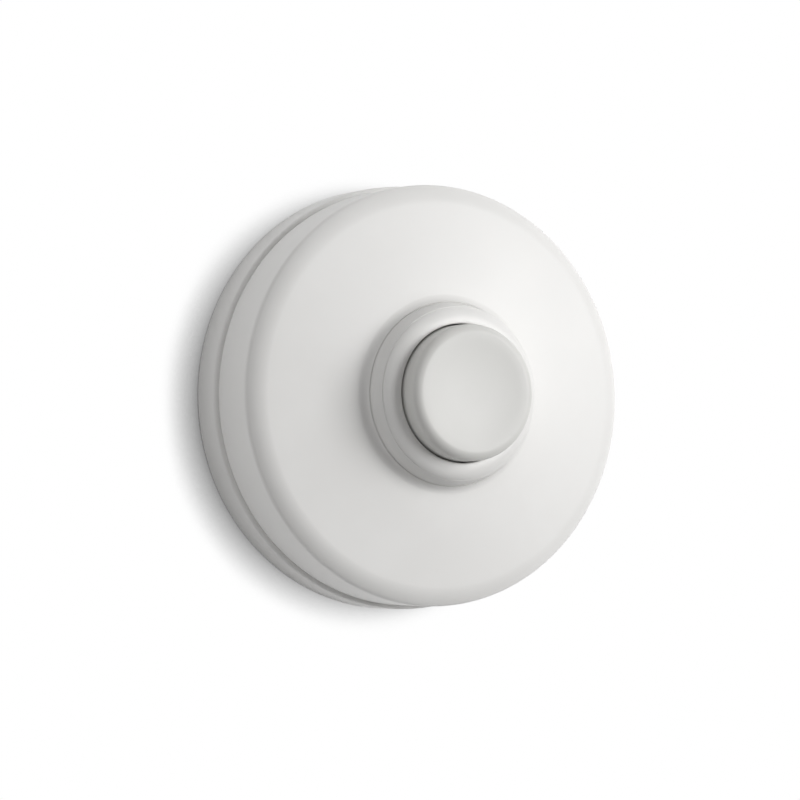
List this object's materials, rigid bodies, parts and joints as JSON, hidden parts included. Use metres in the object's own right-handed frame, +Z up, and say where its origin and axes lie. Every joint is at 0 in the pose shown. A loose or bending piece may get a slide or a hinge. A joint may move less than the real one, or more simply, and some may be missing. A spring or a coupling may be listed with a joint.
{
  "type": "doorbell push button",
  "caption": "Round surface-mounted doorbell push: wall base, push-fit cover with a shallow cone face and stepped collar, and a dished sprung button that closes a leaf contact.",
  "frame": {"origin": "centre of the back face, on the wall, midway between the wall-screw holes", "axes": "+Z up as mounted, +Y into the wall along the button's travel, the button faces -Y"},
  "size_m": [0.0632, 0.0269, 0.0632],
  "materials": {
    "housing_plastic": "satin off-white moulding",
    "button_plastic": "satin grey-white moulding",
    "brass_strip": "rolled brass",
    "spring_bronze": "rolled spring bronze",
    "contact_silver": "silver contact metal",
    "plated_steel": "nickel-plated steel"
  },
  "bodies": {
    "housing": {"base": "housing_plastic", "cover": "housing_plastic", "contact_plate": "brass_strip", "contact_spring": "spring_bronze", "fixed_contact_tip": "contact_silver", "terminal_screws": "plated_steel", "strip_rivets": "brass_strip", "wire_clamp_spring_side": "plated_steel", "wire_clamp_plate_side": "plated_steel", "threaded_insert_spring_side": "brass_strip", "threaded_insert_plate_side": "brass_strip"},
    "plunger": {"push_button": "button_plastic", "moving_contact_tip": "contact_silver"}
  },
  "joints": [
    {"name": "button_press", "type": "slide", "parent": "housing", "child": "plunger", "axis": [0, 1, 0], "range_m": [0, 0.002], "stiffness_N_per_m": 900, "springref_m": -0.001, "deforming": ["contact_spring"]}
  ]
}
